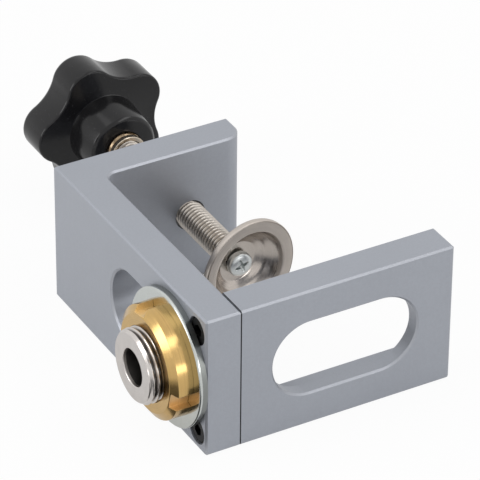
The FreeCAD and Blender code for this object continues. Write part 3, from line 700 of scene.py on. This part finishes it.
def starKnob(look, back):
    # loops from the insert's seat over the hub to the edge of the star's flat back
    hub, tip, root, edge = look["hubLong"], look["hubTip"], look["hubRoot"], look["hubEdge"]
    bevel, seat, seatEdge = look["hubBevel"], look["seat"], look["seatEdge"]
    curve = edge * look["edgeCurve"]
    turned = math.radians(look["turned"])
    hubLoops = [(look["seatDeep"], seat), (seatEdge, seat), (0.0, seat + seatEdge),
                (0.0, tip - bevel - edge), (curve, tip - bevel + curve),
                (bevel - curve, tip - curve), (bevel + edge, tip)]
    hubLoops += [(hub - before, root + wider) for before, wider in look["foot"]]
    starLoops = quarterRound(hub, True, look["frontRound"], look["frontSteps"])
    starLoops += quarterRound(back, False, look["backRound"], look["backSteps"])
    shapes = [(along, lambda angle, r=radius: r) for along, radius in hubLoops]
    shapes += [(along, lambda angle, d=inset: starRadius(look, angle + turned, d))
               for along, inset in starLoops]
    bm = bmesh.new()
    loops = []
    for along, radiusAt in shapes:
        made = bmesh.ops.create_circle(bm, cap_ends=False, radius=mm, segments=look["steps"])
        for v in made["verts"]:
            angle = math.atan2(v.co.y, v.co.x)
            radius = radiusAt(angle) * mm
            v.co = (radius * math.cos(angle), radius * math.sin(angle), along * mm)
        loops.append(list(dict.fromkeys(e for v in made["verts"] for e in v.link_edges)))
    for first, second in zip(loops, loops[1:]):
        bmesh.ops.bridge_loops(bm, edges=first + second)
    bmesh.ops.edgeloop_fill(bm, edges=loops[0])
    bmesh.ops.edgeloop_fill(bm, edges=loops[-1])
    bmesh.ops.remove_doubles(bm, verts=bm.verts[:], dist=1e-7)
    bmesh.ops.recalc_face_normals(bm, faces=bm.faces[:])
    return bm


bm = starKnob(knobLook, (knobHigh.y - knobLow.y) / mm)
knobAxis = (rodAxis.x, knobLow.y, rodAxis.z)
finished(bm, "starKnob", "clamp", ("star_knob",),
         [blackPlastic("glossyMoulded", knobLook, knobAxis)], towards("+y", knobAxis))

# metal insert in the hub's end: a collar in front of a finely grooved neck
insertLow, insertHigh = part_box("knob_insert")
insertLook = {
    "colour": (0.60, 0.52, 0.42), "vary": 0.08, "rough": 0.22, "roughVary": 0.14,
    "rings": 1800, "grain": 4200, "cloud": 500, "ringHeight": 0.003, "grainHeight": 0.002,
    "radius": 5.1, "collar": 1.5, "neck": 4.5, "groove": 0.25, "pitch": 0.34, "steep": 0.02,
    "bore": 3.95, "out": 2.5, "edge": 0.15, "steps": 96,
}


def insertProfile(look, length):
    radius, neck, edge = look["radius"], look["neck"], look["edge"]
    profile = [(0, look["bore"] + edge), (0, radius - edge), (edge, radius),
               (look["collar"] - edge, radius), (look["collar"], radius - edge)]
    at = look["collar"]
    while at + look["pitch"] < look["out"]:
        profile += [(at + look["steep"], neck - look["groove"]), (at + look["pitch"] / 2, neck)]
        at += look["pitch"]
    profile += [(look["out"], neck - look["groove"]), (look["out"], radius), (length, radius),
                (length, look["bore"]), (edge, look["bore"])]
    return profile


bm = spun(insertProfile(insertLook, (insertHigh.y - insertLow.y) / mm), insertLook["steps"])
finished(bm, "knobInsert", "clamp", ("knob_insert",),
         [turnedMetal("champagneInsert", insertLook, (rodAxis.x, insertLow.y, rodAxis.z), "y")],
         towards("+y", (rodAxis.x, insertLow.y, rodAxis.z)))

# pale floor that stays white to the camera and in reflections, and keeps a faint shadow
floorLook = {
    "size": 6.0, "albedo": 0.82, "vary": 0.01, "mottle": 60, "whiten": 0.94,
    "mirrored": 0.45, "footWide": 5.0, "footSoft": 3.0, "armThick": 9.7,
}


def whiteRays(finish, mirrored=1.0):
    # 1 towards the camera, and the mirrored share in reflections and through glass
    paths = finish.tree.nodes.new("ShaderNodeLightPath")
    seen = [Value(finish.tree, paths.outputs[name])
            for name in ("Is Camera Ray", "Is Glossy Ray", "Is Transmission Ray")]
    return seen[0].atLeast(seen[1].atLeast(seen[2]) * mirrored)


bm = bmesh.new()
bmesh.ops.create_grid(bm, x_segments=2, y_segments=2, size=floorLook["size"] / 2)
floorMesh = bpy.data.meshes.new("floor")
bm.to_mesh(floorMesh)
bm.free()
floor = bpy.data.objects.new("floor", floorMesh)
floor.location = (0, 0, cadBox[0].z)
bpy.context.scene.collection.objects.link(floor)
finish = Finish("paleFloor")
x, y, z = finish.place((0.0, 0.0, 0.0))
mottle = finish.noise(x * floorLook["mottle"], y * floorLook["mottle"], 0.0, 3.0)
paper = finish.blend(mottle, shade((1, 1, 1), floorLook["albedo"] - floorLook["vary"]),
                     shade((1, 1, 1), floorLook["albedo"] + floorLook["vary"]))
plain = finish.add("ShaderNodeBsdfDiffuse", None, {"Color": paper})
glow = finish.add("ShaderNodeEmission", None, {"Color": (1, 1, 1, 1), "Strength": 1.0})
# the foot of the arm's inner face stays in its own shade
bodyLow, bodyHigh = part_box("body")
armFace = bodyHigh.y - floorLook["armThick"] * mm
wide, soft = floorLook["footWide"] * mm, floorLook["footSoft"] * mm
foot = finish.step(y, armFace - wide, armFace - wide + soft)
foot = foot - finish.step(y, armFace, armFace + soft)
foot = foot * finish.step(x, bodyLow.x + soft, bodyLow.x + 2 * soft)
foot = foot * (1 - finish.step(x, bodyHigh.x - wide, bodyHigh.x))
white = whiteRays(finish, floorLook["mirrored"]) * floorLook["whiten"] * (1 - foot)
mixed = finish.add("ShaderNodeMixShader", None, {0: white, 1: plain, 2: glow})
finish.add("ShaderNodeOutputMaterial", None, {"Surface": mixed})
floorMesh.materials.append(finish.material)
print("floor ready")

# soft studio light: an even world, four soft boxes, and dark cards only reflections show: a
# painted shadow on the floor and a painted dark reflection
worldLook = {"diffuse": 0.70}
lampLook = [
    ("frontBox", (0.60, -1.28, 0.22), (1.10, 0.33), 2.8),
    ("skyBox", (0.60, -0.43, 1.08), (1.10, 0.30), 2.2),
    ("topBox", (-0.35, 0.25, 1.30), (0.80, 0.80), 1.5),
    ("sideBox", (-1.25, 0.20, 0.50), (0.70, 0.70), 5.8),
]
darkLook = {
    "colour": (0.09, 0.09, 0.09), "vary": 0.2, "rough": 0.9, "cardGrain": 300, "raised": 0.0002,
}
# painted shadow and reflection: the card on the floor stands in for the shadow beside the nut, and
# the card at the left puts a dark patch in the metal's reflections
cardLook = [
    ("paintedFloorShadow", (-0.061, -0.073, cadBox[0].z + darkLook["raised"]), (0.056, 0.034), (0, 0, 1)),
    ("darkStrip", (-1.12, -0.38, 0.38), (0.26, 0.26), (1.12, 0.38, -0.38)),
]
world = bpy.data.worlds.new("paleRoom")
bpy.context.scene.world = world
world.use_nodes = True
finish = Finish("", world.node_tree)
level = worldLook["diffuse"] + (1 - worldLook["diffuse"]) * whiteRays(finish)
room = finish.add("ShaderNodeBackground", None, {"Color": (1, 1, 1, 1), "Strength": level})
finish.add("ShaderNodeOutputWorld", None, {"Surface": room})
for name, place, size, power in lampLook:
    lamp = bpy.data.lights.new(name, "AREA")
    lamp.shape = "RECTANGLE"
    lamp.size, lamp.size_y = size
    lamp.energy = power
    holder = bpy.data.objects.new(name, lamp)
    holder.location = place
    holder.rotation_euler = (-Vector(place)).to_track_quat("-Z", "Y").to_euler()
    bpy.context.scene.collection.objects.link(holder)
finish = Finish("paintedDarkReflection")
cardGrain = finish.grain(finish.place((0.0, 0.0, 0.0)), darkLook["cardGrain"])
paintedDarkReflection = finish.surface({
    "Base Color": finish.blend(cardGrain, shade(darkLook["colour"], 1 - darkLook["vary"]),
                               shade(darkLook["colour"], 1 + darkLook["vary"])),
    "Roughness": darkLook["rough"],
})
for name, place, size, facing in cardLook:
    bm = bmesh.new()
    bmesh.ops.create_grid(bm, x_segments=2, y_segments=2, size=0.5)
    bmesh.ops.scale(bm, vec=(size[0], size[1], 1), verts=bm.verts[:])
    card = bpy.data.objects.new(name, bpy.data.meshes.new(name))
    bm.to_mesh(card.data)
    bm.free()
    card.location = place
    card.rotation_euler = Vector(facing).to_track_quat("Z", "Y").to_euler()
    card.visible_camera = card.visible_diffuse = False
    card.visible_transmission = card.visible_shadow = False
    bpy.context.scene.collection.objects.link(card)
    card.data.materials.append(paintedDarkReflection)
print("lights ready")

# camera at the photograph's view
cameraLook = {
    "place": (-0.392329, -0.721042, 0.553114),
    "forward": (0.41295, 0.72855, -0.54653),
    "right": (0.87235, -0.48883, 0.00751),
    "lens": 282.6,
    "sensor": 36.0,
}
cameraData = bpy.data.cameras.new("camera")
cameraData.lens = cameraLook["lens"]
cameraData.sensor_width = cameraLook["sensor"]
camera = bpy.data.objects.new("camera", cameraData)
forward = Vector(cameraLook["forward"]).normalized()
right = Vector(cameraLook["right"]).normalized()
upward = right.cross(forward).normalized()
turn = Matrix((right, upward, -forward)).transposed()
camera.matrix_world = Matrix.Translation(cameraLook["place"]) @ turn.to_4x4()
bpy.context.scene.collection.objects.link(camera)
bpy.context.scene.camera = camera
bpy.context.scene.view_settings.view_transform = "Standard"
print("camera ready")
